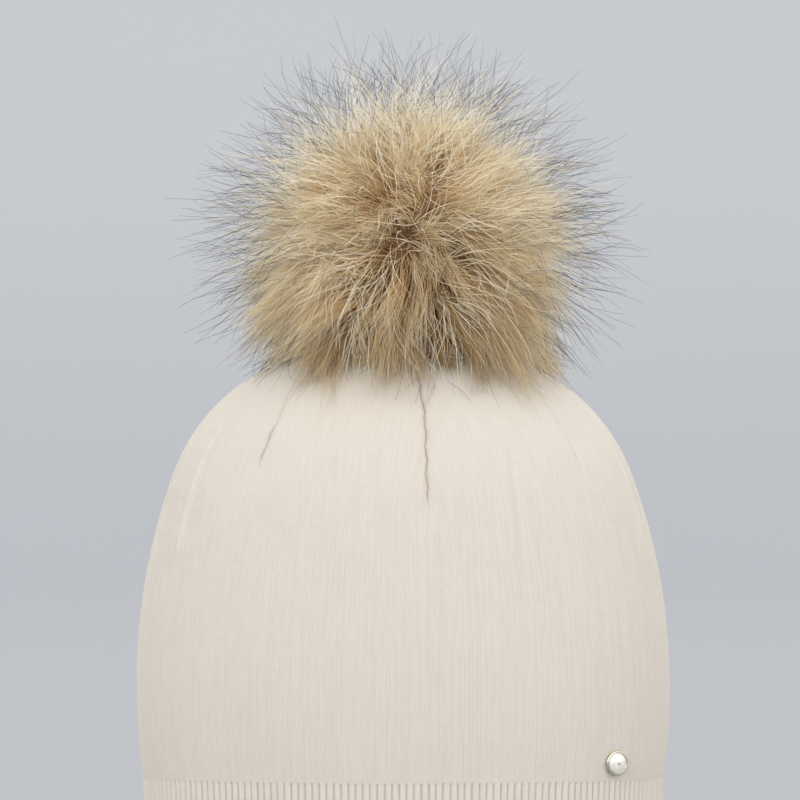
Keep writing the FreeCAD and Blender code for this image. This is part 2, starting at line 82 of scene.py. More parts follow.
def mesh_piece(name, points, quads, material=None, triangles=None, flat=0):
    """A new smooth object from points and faces. The last flat quads are shaded flat."""
    triangles = np.zeros((0, 3), int) if triangles is None else triangles
    mesh = bpy.data.meshes.new(name)
    mesh.vertices.add(len(points))
    mesh.vertices.foreach_set("co", np.asarray(points, np.float32).ravel())
    mesh.loops.add(quads.size + triangles.size)
    corners = np.concatenate([quads.ravel(), triangles.ravel()])
    mesh.loops.foreach_set("vertex_index", corners.astype(np.int32))
    mesh.polygons.add(len(quads) + len(triangles))
    starts = np.concatenate([np.arange(len(quads)) * 4, quads.size + np.arange(len(triangles)) * 3])
    mesh.polygons.foreach_set("loop_start", starts.astype(np.int32))
    mesh.update(calc_edges=True)
    mesh.shade_smooth()
    if flat:
        smooth = np.ones(len(mesh.polygons), bool)
        smooth[len(quads) - flat : len(quads)] = False
        mesh.polygons.foreach_set("use_smooth", smooth)
    if material:
        mesh.materials.append(material)
    piece = bpy.data.objects.new(name, mesh)
    scene.collection.objects.link(piece)
    return piece


def weld(piece):
    """Joins points that lie on each other, which closes poles and the ends of closed outlines."""
    work = bmesh.new()
    work.from_mesh(piece.data)
    bmesh.ops.remove_doubles(work, verts=work.verts, dist=WELD_DISTANCE)
    bmesh.ops.recalc_face_normals(work, faces=work.faces)
    work.to_mesh(piece.data)
    work.free()
    piece.data.shade_smooth()


def paint_corners(piece, layer, values, quads):
    """A UV layer of that name. Values has a pair for each corner, or for each point."""
    if values.shape[0] != quads.size:
        values = values[quads.ravel()]
    layer = piece.data.uv_layers.new(name=layer)
    layer.data.foreach_set("uv", values.astype(np.float32).ravel())


def paint_points(piece, name, values):
    """A number for each point, which a material reads by name."""
    attribute = piece.data.attributes.new(name, "FLOAT", "POINT")
    attribute.data.foreach_set("value", values.astype(np.float32).ravel())


def colour_points(piece, name, colours):
    """A colour for each point, which a material reads by name."""
    attribute = piece.data.attributes.new(name, "FLOAT_COLOR", "POINT")
    with_alpha = np.concatenate([colours, np.ones((len(colours), 1))], axis=1)
    attribute.data.foreach_set("color", with_alpha.astype(np.float32).ravel())


def unit(vectors):
    return vectors / np.maximum(np.linalg.norm(vectors, axis=-1, keepdims=True), 1e-12)


def smooth_step(low, high, value):
    share = np.clip((value - low) / (high - low), 0, 1)
    return share * share * (3 - 2 * share)


def flow(points, seed, wave_length, waves=7):
    """A smooth random direction at each point, that changes over about wave_length."""
    rng = np.random.default_rng(seed)
    total = np.zeros_like(points)
    for _ in range(waves):
        wave = unit(rng.normal(size=3)) * TURN / wave_length * rng.uniform(0.6, 1.4)
        total += np.sin(points @ wave + rng.uniform(0, TURN))[..., None] * rng.normal(size=3)
    return total / math.sqrt(waves)


def srgb(red, green, blue):
    """A linear colour from one given as it looks on a screen, 0 to 255."""
    shown = np.array([red, green, blue]) / 255
    return np.where(shown <= 0.04045, shown / 12.92, ((shown + 0.055) / 1.055) ** 2.4)


# ---------------------------------------------------------------- material helpers

def new_material(name, colour, roughness, metallic=0.0, sheen=0.0):
    """A node material, its tree and its main shader."""
    made = bpy.data.materials.new(name)
    made.use_nodes = True
    tree = made.node_tree
    shader = tree.nodes["Principled BSDF"]
    shader.inputs["Base Color"].default_value = (*colour, 1)
    shader.inputs["Roughness"].default_value = roughness
    shader.inputs["Metallic"].default_value = metallic
    shader.inputs["Sheen Weight"].default_value = sheen
    shader.inputs["Sheen Roughness"].default_value = 0.4
    return made, tree, shader


def feed(tree, socket, value):
    """Links a socket to another's output, or sets its number."""
    if isinstance(value, bpy.types.NodeSocket):
        tree.links.new(value, socket)
    else:
        socket.default_value = value


def calculate(tree, operation, *values):
    """One Math node's result."""
    node = tree.nodes.new("ShaderNodeMath")
    node.operation = operation
    for socket, value in zip(node.inputs, values):
        feed(tree, socket, value)
    return node.outputs[0]


def times(tree, first, second):
    return calculate(tree, "MULTIPLY", first, second)


def plus(tree, first, second):
    return calculate(tree, "ADD", first, second)


def blend_colours(tree, share, first, second):
    """One Mix node's colour."""
    node = tree.nodes.new("ShaderNodeMix")
    node.data_type = "RGBA"
    feed(tree, node.inputs[0], share)
    for socket, value in ((node.inputs[6], first), (node.inputs[7], second)):
        feed(tree, socket, value if isinstance(value, bpy.types.NodeSocket) else (*value, 1))
    return node.outputs[2]


def noise(tree, scale, detail=3.0, place=None):
    """A noise pattern over the piece's own coordinates, or over the place given, from 0 to 1."""
    node = tree.nodes.new("ShaderNodeTexNoise")
    node.inputs["Scale"].default_value = scale
    node.inputs["Detail"].default_value = detail
    if place is None:
        place = tree.nodes.new("ShaderNodeTexCoord").outputs["Object"]
    tree.links.new(place, node.inputs["Vector"])
    return node.outputs["Fac"]


def read_number(tree, name):
    """The number that paint_points put on the mesh."""
    node = tree.nodes.new("ShaderNodeAttribute")
    node.attribute_name = name
    return node.outputs["Fac"]


def bump(tree, shader, height, depth, strength=1.0):
    """Raises the surface by height, from 0 to 1, times depth in metres."""
    node = tree.nodes.new("ShaderNodeBump")
    node.inputs["Strength"].default_value = strength
    node.inputs["Distance"].default_value = depth
    tree.links.new(height, node.inputs["Height"])
    tree.links.new(node.outputs[0], shader.inputs["Normal"])


def stitches(tree):
    """The height of stocking stitch over the UV layer "knit", one wale by one course to a unit."""
    layer = tree.nodes.new("ShaderNodeUVMap")
    layer.uv_map = "knit"
    parts = tree.nodes.new("ShaderNodeSeparateXYZ")
    tree.links.new(layer.outputs[0], parts.inputs[0])
    along, up = parts.outputs[0], parts.outputs[1]
    in_wale = calculate(tree, "SUBTRACT", calculate(tree, "FRACT", along), 0.5)
    aside = times(tree, calculate(tree, "ABSOLUTE", in_wale), 2.0)
    leg = calculate(tree, "SINE", times(tree, aside, math.pi))
    slanted = plus(tree, up, times(tree, aside, 0.6))
    in_course = calculate(tree, "FRACT", slanted)
    course = calculate(tree, "SINE", times(tree, in_course, math.pi))
    loop = plus(tree, times(tree, course, 0.6), 0.4)
    return times(tree, leg, loop), layer.outputs[0]


def streaks(tree, layer, across, along):
    """Noise drawn out along the wales."""
    stretch = tree.nodes.new("ShaderNodeMapping")
    stretch.inputs["Scale"].default_value = (across, along, 1)
    tree.links.new(layer, stretch.inputs["Vector"])
    return noise(tree, 1.0, 2.0, stretch.outputs[0])


KNIT_LIGHT = srgb(236, 228, 217)
KNIT_WARM = srgb(235, 223, 212)
KNIT_COOL = srgb(229, 226, 213)
# The darker knit tone: darker yarn along uneven wales, and also painted shade between the stitches and
# in the grooves.
KNIT_DARK_YARN_AND_SHADE = srgb(196, 183, 168)
# The dart seams' dark line, partly painted shade in their creases.
CREASE_SHADE = srgb(160, 138, 114)


def sway_aside(tree, up, rate, reach):
    """A sine along the dart: rate in radians to a millimetre up it, and reach in millimetres."""
    wave = calculate(tree, "SINE", times(tree, up, rate))
    return times(tree, wave, reach)


def crease_line_and_shade(tree):
    """A thin wandering line with short fibres drawn into it, beside each sewn dart: the seam's own dark
    line, and painted shade in its crease.
    """
    side = read_number(tree, "dart_side")
    up = read_number(tree, "dart_up")
    envelope = read_number(tree, "crease")
    wander = plus(tree, sway_aside(tree, up, 1.7, 0.12), sway_aside(tree, up, 0.63, 0.3))
    away = calculate(tree, "ABSOLUTE", plus(tree, side, wander))
    squared = times(tree, away, away)
    line = calculate(tree, "EXPONENT", times(tree, squared, -10.0))
    climb = times(tree, up, 3.4)
    slant = plus(tree, climb, times(tree, away, 3.9))
    grain = times(tree, noise(tree, 900.0, 2.0), 7.0)
    ripple = calculate(tree, "SINE", plus(tree, slant, grain))
    fibres = calculate(tree, "POWER", calculate(tree, "ABSOLUTE", ripple), 7.0)
    reach = calculate(tree, "EXPONENT", times(tree, away, -0.95))
    fibres = times(tree, times(tree, fibres, reach), 0.75)
    mark = calculate(tree, "MAXIMUM", line, fibres)
    return times(tree, mark, envelope)


def knit_material(name, groove_shade, light=KNIT_LIGHT, stitch_depth=0.2):
    """Fine carded yarn: stitches, slightly uneven wales and soft blotches, with painted shade between
    the stitches, in the grooves and in the dart creases.
    """
    made, tree, shader = new_material(name, light, 0.92, sheen=0.2)
    stitch, layer = stitches(tree)
    colour = blend_colours(tree, noise(tree, 24.0, 2.0), KNIT_WARM, light)
    cool_share = times(tree, noise(tree, 15.0, 2.0), 0.7)
    colour = blend_colours(tree, cool_share, colour, KNIT_COOL)
    streak = streaks(tree, layer, 0.9, 0.05)
    streak = times(tree, calculate(tree, "SUBTRACT", 0.62, streak), 0.42)
    colour = blend_colours(tree, streak, colour, KNIT_DARK_YARN_AND_SHADE)
    # Painted shade: the gaps between the stitches are darkened.
    between = times(tree, calculate(tree, "SUBTRACT", 1.0, stitch), 0.14)
    colour = blend_colours(tree, between, colour, KNIT_DARK_YARN_AND_SHADE)
    # Painted shade: the wale grooves and the rib grooves are darkened by the groove numbers on the
    # mesh.
    groove = times(tree, read_number(tree, "groove"), groove_shade)
    colour = blend_colours(tree, groove, colour, KNIT_DARK_YARN_AND_SHADE)
    # The dart creases are darkened: the seam's dark line, and painted shade in the crease.
    crease = crease_line_and_shade(tree)
    colour = blend_colours(tree, crease, colour, CREASE_SHADE)
    tree.links.new(colour, shader.inputs["Base Color"])
    fibre = noise(tree, 2600.0, 3.0)
    height = plus(tree, stitch, times(tree, fibre, 0.35))
    height = calculate(tree, "SUBTRACT", height, times(tree, crease, 1.5))
    bump(tree, shader, height, stitch_depth * MM)
    return made


def metal_material(name, colour, roughness, scratch=900.0, metallic=1.0):
    """Plated metal with a fine brushed grain and slightly uneven gloss."""
    made, tree, shader = new_material(name, colour, roughness, metallic=metallic)
    uneven = noise(tree, scratch, 4.0)
    gloss = times(tree, uneven, roughness * 0.6)
    gloss = plus(tree, gloss, roughness * 0.7)
    tree.links.new(gloss, shader.inputs["Roughness"])
    tarnish = blend_colours(tree, noise(tree, scratch / 4, 3.0), colour, np.asarray(colour) * 0.82)
    tree.links.new(tarnish, shader.inputs["Base Color"])
    bump(tree, shader, uneven, 0.01 * MM, 0.4)
    return made


def soft_material(name, colour, shade, scale, depth, roughness=0.9):
    """Thread, felt, cloth, hide or wadding: two tones in a fibrous noise, with its own relief."""
    made, tree, shader = new_material(name, colour, roughness, sheen=0.2)
    grain = noise(tree, scale, 5.0)
    tree.links.new(blend_colours(tree, grain, shade, colour), shader.inputs["Base Color"])
    bump(tree, shader, grain, depth * MM)
    return made


def hair_material(name, roughness):
    """Hair whose colour runs from root to tip, as painted on its points."""
    made, tree, shader = new_material(name, srgb(180, 150, 110), roughness)
    paint = tree.nodes.new("ShaderNodeAttribute")
    paint.attribute_name = "hair"
    tree.links.new(paint.outputs["Color"], shader.inputs["Base Color"])
    shader.inputs["Specular IOR Level"].default_value = 0.35
    return made


MATERIALS = {
    "shell": knit_material("cream_fine_knit", 0.35),
    "rib": knit_material("cream_rib_knit", 0.6, light=srgb(233, 224, 213)),
    "lining": knit_material("cream_lining_knit", 0.35, light=srgb(232, 223, 209)),
    "gold": metal_material("pale_gold_rim", srgb(218, 212, 188), 0.26),
    # The dome's near-white colour is partly painted highlight, the glare of its polished face; the rest
    # is pale gold metal.
    "dome": metal_material("pale_gold_dome_painted_glare", srgb(254, 252, 242), 0.3, metallic=0.4),
    "steel": metal_material("snap_nickel", srgb(188, 184, 174), 0.28),
    "wire": metal_material("spring_steel_wire", srgb(170, 172, 176), 0.25),
    "thread": soft_material(
        "cream_sewing_thread", srgb(222, 210, 192), srgb(186, 172, 150), 4000.0, 0.05
    ),
    "felt": soft_material("beige_felt", srgb(196, 182, 160), srgb(160, 145, 124), 1600.0, 0.15),
    "label": soft_material("label_satin", srgb(238, 235, 228), srgb(224, 220, 210), 3000.0, 0.03, 0.5),
    "hide": soft_material("tanned_pelt", srgb(190, 160, 124), srgb(140, 108, 78), 500.0, 0.2),
    "wadding": soft_material("white_wadding", srgb(236, 234, 228), srgb(205, 203, 198), 700.0, 0.4),
    "under_hair": hair_material("raccoon_underfur", 0.62),
    "guard_hair": hair_material("raccoon_guard_hair", 0.38),
}


# ---------------------------------------------------------------- the cap's outline

shell_low, shell_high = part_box("outer_shell")
HALF_WIDTH = shell_high.x
DEPTH_RATIO = shell_high.y / shell_high.x
CROWN_HEIGHT = shell_high.z
RIB_HEIGHT = shell_low.z
SIDE_RADIUS = 250 * MM
SHOULDER_RADIUS = 76 * MM
CROWN_RADIUS = 380 * MM
WIDEST_HEIGHT = 88 * MM
SHELL_WALL = 2.0 * MM
LINING_OFFSET = 2.8 * MM
LINING_WALL = 1.5 * MM
SNAP_HOLE = 2.2 * MM

side_centre = np.array([HALF_WIDTH - SIDE_RADIUS, WIDEST_HEIGHT])
crown_centre = np.array([0.0, CROWN_HEIGHT - CROWN_RADIUS])


def touching_centre():
    """The centre of the shoulder arc, which touches the side arc and the crown arc from inside."""
    from_crown = CROWN_RADIUS - SHOULDER_RADIUS
    from_side = SIDE_RADIUS - SHOULDER_RADIUS
    between = side_centre - crown_centre
    apart = math.hypot(*between)
    along = (from_crown**2 - from_side**2 + apart**2) / (2 * apart)
    across = math.sqrt(from_crown**2 - along**2)
    forward = between / apart
    return crown_centre + forward * along + np.array([forward[1], -forward[0]]) * across


shoulder_centre = touching_centre()
foot_turn = math.asin((RIB_HEIGHT - WIDEST_HEIGHT) / SIDE_RADIUS)
low_turn = math.atan2(*(shoulder_centre - side_centre)[::-1])
high_turn = math.atan2(*(shoulder_centre - crown_centre)[::-1])
hole_turn = math.acos(SNAP_HOLE / CROWN_RADIUS)
SIDE_RUN = SIDE_RADIUS * (low_turn - foot_turn)
SHOULDER_RUN = SHOULDER_RADIUS * (high_turn - low_turn)
WHOLE_RUN = SIDE_RUN + SHOULDER_RUN + CROWN_RADIUS * (hole_turn - high_turn)


def outline(run, offset=0.0):
    """Radius, height and outward normal of the round cap, run metres up from the rib line."""
    run = np.asarray(run, float)
    on_side = run < SIDE_RUN
    on_shoulder = ~on_side & (run < SIDE_RUN + SHOULDER_RUN)
    turn = np.where(
        on_side,
        foot_turn + run / SIDE_RADIUS,
        np.where(
            on_shoulder,
            low_turn + (run - SIDE_RUN) / SHOULDER_RADIUS,
            high_turn + (run - SIDE_RUN - SHOULDER_RUN) / CROWN_RADIUS,
        ),
    )
    pick = [on_side, on_shoulder]
    reach = np.select(pick, [SIDE_RADIUS, SHOULDER_RADIUS], CROWN_RADIUS) - offset
    middle_x = np.select(pick, [side_centre[0], shoulder_centre[0]], crown_centre[0])
    middle_z = np.select(pick, [side_centre[1], shoulder_centre[1]], crown_centre[1])
    return middle_x + reach * np.cos(turn), middle_z + reach * np.sin(turn), np.cos(turn), np.sin(turn)


def crown_top(radius):
    """The height of the round cap's outside at a distance from its axis."""
    on_crown = radius < crown_centre[0] + CROWN_RADIUS * math.cos(high_turn)
    on_shoulder = radius < side_centre[0] + SIDE_RADIUS * math.cos(low_turn)
    crown = crown_centre[1] + np.sqrt(np.maximum(CROWN_RADIUS**2 - radius**2, 0))
    shoulder = shoulder_centre[1] + np.sqrt(
        np.maximum(SHOULDER_RADIUS**2 - (radius - shoulder_centre[0]) ** 2, 0)
    )
    side = side_centre[1] + np.sqrt(np.maximum(SIDE_RADIUS**2 - (radius - side_centre[0]) ** 2, 0))
    return np.where(on_crown, crown, np.where(on_shoulder, shoulder, side))


def on_cap(turn, radius, height, normal_r, normal_z, push):
    """Points of the oval cap: turn is measured from the front, and push is along the normal."""
    across, depth = np.sin(turn), -np.cos(turn)
    slope = [across * normal_r, depth * normal_r / DEPTH_RATIO, normal_z + 0 * turn]
    normal = unit(np.stack(slope, axis=-1))
    place = np.stack([radius * across, radius * depth * DEPTH_RATIO, height + 0 * turn], axis=-1)
    return place + normal * np.asarray(push)[..., None]


# ---------------------------------------------------------------- knitted layers

WALES = 512
COLUMNS_PER_WALE = 3
COURSE = 0.85 * MM
DARTS = 8
DART_PHASE = math.radians(6)
DART_ENDS = np.array([161.5, 171, 168, 174, 165, 170, 169, 177]) * MM
# How firm each dart's crease is, and how dark it is painted: the seam's line and painted shade.
DART_TONES = np.array([0.72, 0.1, 0.4, 0.3, 0.6, 0.35, 0.3, 0.6])
RIDGE_TURNS = np.radians([26, 74, 119, 163, 207, 253, 297, 350])
RIDGE_END = 145 * MM
KEEP_WALES_BELOW = 150 * MM
WALE_DEPTH = 0.16 * MM

FINE_TURNS = np.linspace(0, TURN, 20001)
fine_steps = np.hypot(np.cos(FINE_TURNS), DEPTH_RATIO * np.sin(FINE_TURNS))
fine_run = np.concatenate([[0], np.cumsum(fine_steps[1:] + fine_steps[:-1])])
FINE_SHARES = fine_run / fine_run[-1]


def even_turns(count):
    """Turns that space that many points evenly round the oval, from the front."""
    return np.interp(np.arange(count) / count, FINE_SHARES, FINE_TURNS)


def share_of(turn):
    """How far round the oval a turn is, from 0 to 1."""
    return np.interp(np.mod(turn, TURN), FINE_TURNS, FINE_SHARES)


def nearest_dart(turn):
    """The signed turn from the nearest of the eight darts, and that dart's number."""
    steps = (turn - DART_PHASE) / (TURN / DARTS)
    number = np.round(steps)
    return (steps - number) * (TURN / DARTS), number.astype(int) % DARTS


def soft_waves(turn, height, seed):
    """Slow unevenness of a soft fabric, about one unit either way."""
    rng = np.random.default_rng(seed)
    total = 0 * turn + 0 * height
    for _ in range(9):
        rounds = rng.integers(1, 9)
        climb = rng.uniform(-45, 45)
        total = total + np.sin(rounds * turn + climb * height + rng.uniform(0, TURN))
    return total / 3


def sway(turn, height):
    """The soft unevenness that the shell and the rib band share."""
    return 0.3 * MM * soft_waves(turn, height, 3)


def dart_relief(turn, radius, height):
    """Creases where the outer darts are sewn: their push, and what the material reads there, which is
    how dark each crease is painted, partly the seam's line and partly painted shade.
    """
    aside, number = nearest_dart(turn)
    ends = DART_ENDS[number]
    waver = 0.3 * np.sin(height / (6.5 * MM) + number) + 0.1 * np.sin(height / (2.9 * MM) + 2 * number)
    distance = aside * radius + waver * MM
    sewn = smooth_step(-1 * MM, 6 * MM, height - ends)
    beyond = smooth_step(-18 * MM, 6 * MM, height - ends)
    groove = np.exp(-((distance / (0.6 * MM)) ** 2))
    puff = np.exp(-(((np.abs(distance) - 3.6 * MM) / (2.8 * MM)) ** 2))
    dip = np.exp(-((distance / (5.5 * MM)) ** 2))
    firm = 0.35 + 0.65 * DART_TONES[number]
    push = sewn * firm * (-0.7 * groove + 0.5 * puff) - 0.6 * beyond * dip
    near = 1 - smooth_step(6 * MM, 8.5 * MM, np.abs(distance))
    fade = 1 - 0.75 * smooth_step(8 * MM, 22 * MM, height - ends) * (number != 0)
    # How dark the material paints the crease: the seam's line, and painted shade in the groove.
    tone = DART_TONES[number] * smooth_step(-2 * MM, 3 * MM, height - ends) * fade * near
    return push * MM, tone, np.clip(distance / MM, -9, 9), (height - ends) / MM


def lining_ridges(turn, radius, height):
    """Soft ridges where the lining's own darts lie under the shell."""
    total = 0 * turn * height
    for ridge_turn in RIDGE_TURNS:
        aside = (turn - ridge_turn + math.pi) % TURN - math.pi
        distance = aside * radius
        there = smooth_step(-6 * MM, 6 * MM, height - RIDGE_END)
        there = there * (1 - smooth_step(170 * MM, 200 * MM, height))
        ridge = np.exp(-((distance / (1.9 * MM)) ** 2))
        hollow = np.exp(-(((distance - 4.0 * MM) / (2.2 * MM)) ** 2))
        foot = np.exp(-((distance / (9 * MM)) ** 2)) * np.exp(-(((height - RIDGE_END) / (7 * MM)) ** 2))
        total = total + there * (0.9 * ridge - 0.65 * hollow) + 0.45 * foot
    return total * MM


def knit_coordinates(share, radius, run, quads):
    """Each corner's place in wales and courses. Towards the crown the wales keep their width,
    so each gore between two darts loses wales into its seams."""
    corners = quads.ravel()
    across = share.ravel()[corners].reshape(-1, 4)
    across = np.where(across - across.min(axis=1, keepdims=True) > 0.5, across - 1, across)
    gores = share_of(DART_PHASE + (np.arange(DARTS) + 0.5) * TURN / DARTS)
    middle = across.mean(axis=1)
    apart = (middle[:, None] - gores[None, :] + 0.5) % 1 - 0.5
    gore = gores[np.abs(apart).argmin(axis=1)]
    away = (across - gore[:, None] + 0.5) % 1 - 0.5
    narrow = np.clip(radius.ravel()[corners].reshape(-1, 4) / (96 * MM), 0, 1)
    wales = (gore[:, None] + away * narrow) * WALES
    return np.stack([wales.ravel(), run.ravel()[corners] / COURSE], axis=-1)


def layer_piece(name, columns, outer_runs, inner_runs, offset, wall, relief, material, node):
    """A closed knitted layer: its outside, the hole at its crown, its inside and its foot."""
    turn = even_turns(columns)
    sides = []
    for runs, depth in ((outer_runs, offset), (inner_runs[::-1], offset + wall)):
        rows = [v[:, None] for v in (*outline(runs, depth), runs)]
        sides.append(np.broadcast_arrays(turn[None, :], *rows))
    push, marks = relief(sides[0][0], sides[0][1], sides[0][2], sides[0][5])
    turns, radii, heights, across, upwards, runs = sides[0]
    level_foot = smooth_step(0, 5 * MM, runs)
    outside = on_cap(turns, radii, heights, across, upwards * level_foot, push)
    inside = on_cap(*sides[1][:5], 0 * sides[1][0])
    points = np.concatenate([outside.reshape(-1, 3), inside.reshape(-1, 3)])
    rows = len(outer_runs) + len(inner_runs)
    quads = quads_of_grid(rows, columns)
    foot = quads_of_grid(2, columns)
    foot = np.where(foot < columns, foot + (rows - 1) * columns, foot - columns)
    quads = np.concatenate([quads, foot])
    piece = mesh_piece(name, points, quads, material, flat=columns)
    share = np.broadcast_to(np.arange(columns) / columns, (rows, columns))
    radius, run = (np.concatenate([side[i] for side in sides]) for i in (1, 5))
    paint_corners(piece, "knit", knit_coordinates(share, radius, run, quads), quads)
    plain = np.zeros(inside.size // 3)
    for mark, values in marks.items():
        paint_points(piece, mark, np.concatenate([values.ravel(), plain]))
    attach(piece, "hat")
    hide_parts(node)
    return piece


def shell_relief(turn, radius, height, run):
    """How far the outside of the shell stands out, in metres, and what its material reads."""
    rng = np.random.default_rng(5)
    column = np.round(share_of(turn) * WALES * COLUMNS_PER_WALE).astype(int)
    depths = rng.uniform(0.5, 1.3, WALES + 1)[column // COLUMNS_PER_WALE]
    between = (column % COLUMNS_PER_WALE == 0) * depths
    fade = 1 - smooth_step(KEEP_WALES_BELOW, KEEP_WALES_BELOW + 22 * MM, height)
    push = -WALE_DEPTH * between * fade * smooth_step(0, 3 * MM, run)
    push = push + sway(turn, height)
    dart_push, crease, dart_side, dart_up = dart_relief(turn, radius, height)
    push = push + dart_push + lining_ridges(turn, radius, height)
    # Painted shade: how much the material darkens each wale groove.
    groove = between * fade * 0.7
    marks = {"crease": crease, "dart_side": dart_side, "dart_up": dart_up, "groove": groove}
    return push, marks


def plain_relief(turn, radius, height, run):
    """The lining lies smooth, with a very slight unevenness inwards."""
    return -0.1 * MM * np.abs(soft_waves(turn, height, 8)), {"crease": 0 * turn}


def make_outer_shell():
    outer = np.concatenate(
        [
            np.array([0.0, 0.05, 1.5]) * MM,
            np.linspace(5 * MM, 100 * MM, 15),
            np.arange(102.5, 176, 2.3) * MM,
            np.linspace(181 * MM, WHOLE_RUN, 6),
        ]
    )
    inner = np.linspace(0, WHOLE_RUN, 8)
    return layer_piece(
        "knit_shell", WALES * COLUMNS_PER_WALE, outer, inner, 0.0, SHELL_WALL, shell_relief,
        MATERIALS["shell"], "outer_shell",
    )


def make_lining():
    runs = np.linspace(0, WHOLE_RUN, 44)
    return layer_piece(
        "knit_lining", WALES, runs, runs, LINING_OFFSET, LINING_WALL, plain_relief,
        MATERIALS["lining"], "lining",
    )


# ---------------------------------------------------------------- rib band

RIBS = 190
RIB_COLUMNS = 8
RIB_WALL = 4.4 * MM
RIB_DEPTH = 0.95 * MM
RIM_HALF_WIDTH = 101.5 * MM


def rib_profile():
    """The band's outline: down the outside, round the fold and up the inside."""
    foot_radius = side_centre[0] + SIDE_RADIUS * math.cos(foot_turn)
    lean = (foot_radius - RIM_HALF_WIDTH) / RIB_HEIGHT
    fold = RIB_WALL / 2
    down = np.array([0, 0.04, 0.5, 1.0, 1.5, 4, 8, 13, 18, 23, 28, 33, 38, 43, 47]) * MM
    heights = RIB_HEIGHT - down
    outer = [(RIM_HALF_WIDTH + h * lean, h, 1.0, 0.0) for h in heights]
    bend = []
    for a in np.linspace(0, math.pi, 9):
        side, drop = math.cos(a), math.sin(a)
        bend.append((RIM_HALF_WIDTH - fold + fold * side, fold - fold * drop, side, -drop))
    inner = [(RIM_HALF_WIDTH - RIB_WALL + h * lean, h, -1.0, 0.0) for h in heights[::-1]]
    return np.array(outer + bend + inner)


def make_rib_band():
    """The double ribbed band: wide rounded ribs with narrow grooves, folded at the rim."""
    profile = rib_profile()
    run = np.concatenate([[0], np.cumsum(np.hypot(*np.diff(profile[:, :2], axis=0).T))])
    columns = RIBS * RIB_COLUMNS
    turn = even_turns(columns)
    share = np.arange(columns) / columns
    grid = np.broadcast_arrays(turn[None, :], *(profile[:, i : i + 1] for i in range(4)), run[:, None])
    rng = np.random.default_rng(21)
    rib = np.floor(share * RIBS).astype(int)
    phase = (share * RIBS + rng.uniform(-0.04, 0.04, RIBS)[rib]) % 1
    groove = np.exp(-(((phase - 0.5) / 0.135) ** 2))
    wale_line = 0.14 * np.exp(-((np.minimum(phase, 1 - phase) / 0.07) ** 2))
    start = smooth_step(0, 0.7 * MM, run)[:, None]
    depth = (groove + wale_line) * start * RIB_DEPTH * rng.uniform(0.85, 1.1, RIBS)[rib]
    push = np.where(grid[3] >= 0, sway(grid[0], grid[2]), 0) * np.abs(grid[3]) - depth
    points = on_cap(*grid[:5], push).reshape(-1, 3)
    rows = len(profile)
    quads = quads_of_grid(rows, columns)[:, ::-1]
    closing = quads_of_grid(2, columns)[:, ::-1]
    closing = np.where(closing < columns, closing + (rows - 1) * columns, closing - columns)
    quads = np.concatenate([quads, closing])
    piece = mesh_piece("knit_rib_band", points, quads, MATERIALS["rib"], flat=columns)
    across = np.broadcast_to(share, (rows, columns)).ravel()[quads]
    across = np.where(across - across.min(axis=1, keepdims=True) > 0.5, across - 1, across)
    along = np.broadcast_to(run[:, None], (rows, columns)).ravel()[quads]
    knit = np.stack([across * RIBS * 2, -along / COURSE], axis=-1)
    paint_corners(piece, "knit", knit.reshape(-1, 2), quads)
    # Painted shade: how much the material darkens each rib groove.
    paint_points(piece, "groove", (groove * start + 0 * grid[0]).ravel())
    paint_points(piece, "crease", np.zeros(len(points)))
    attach(piece, "hat")
    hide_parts("rib_band")


# ---------------------------------------------------------------- badge

BADGE_TURN = math.radians(31)
BADGE_BODY = 1.2 * MM
BADGE_RADIUS = 4.9 * MM


def badge_axis():
    """The middle of the badge's back, and the directions out of it, across it and up it."""
    low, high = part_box("badge_bezel")
    outwards = np.array([math.sin(BADGE_TURN), -math.cos(BADGE_TURN), 0])
    middle = (np.array(low) + np.array(high)) / 2 - outwards * BADGE_BODY / 2
    across = np.array([math.cos(BADGE_TURN), math.sin(BADGE_TURN), 0])
    return middle, outwards, across, np.array([0, 0, 1.0])


def lathe(name, profile, material, place, segments=96, ripple=None):
    """A closed piece turned from a profile of (radius, height), about the axis that place gives."""
    middle, outwards, across, upwards = place
    turn = np.arange(segments) / segments * TURN
    profile = np.array(profile)
    radius = profile[:, :1] + 0 * turn
    height = profile[:, 1:] + 0 * turn
    if ripple:
        height = height + ripple(turn[None, :], radius)
    spoke = np.cos(turn)[:, None] * across + np.sin(turn)[:, None] * upwards
    points = middle + radius[..., None] * spoke + height[..., None] * outwards
    piece = mesh_piece(name, points.reshape(-1, 3), quads_of_grid(len(profile), segments), material)
    weld(piece)
    return piece


def arc_points(centre_r, centre_h, radius, begin, finish, count):
    """Points of a rounded stretch of a profile. Angles are in degrees."""
    turns = np.radians(np.linspace(begin, finish, count))
    return [(centre_r + radius * math.cos(a), centre_h + radius * math.sin(a)) for a in turns]


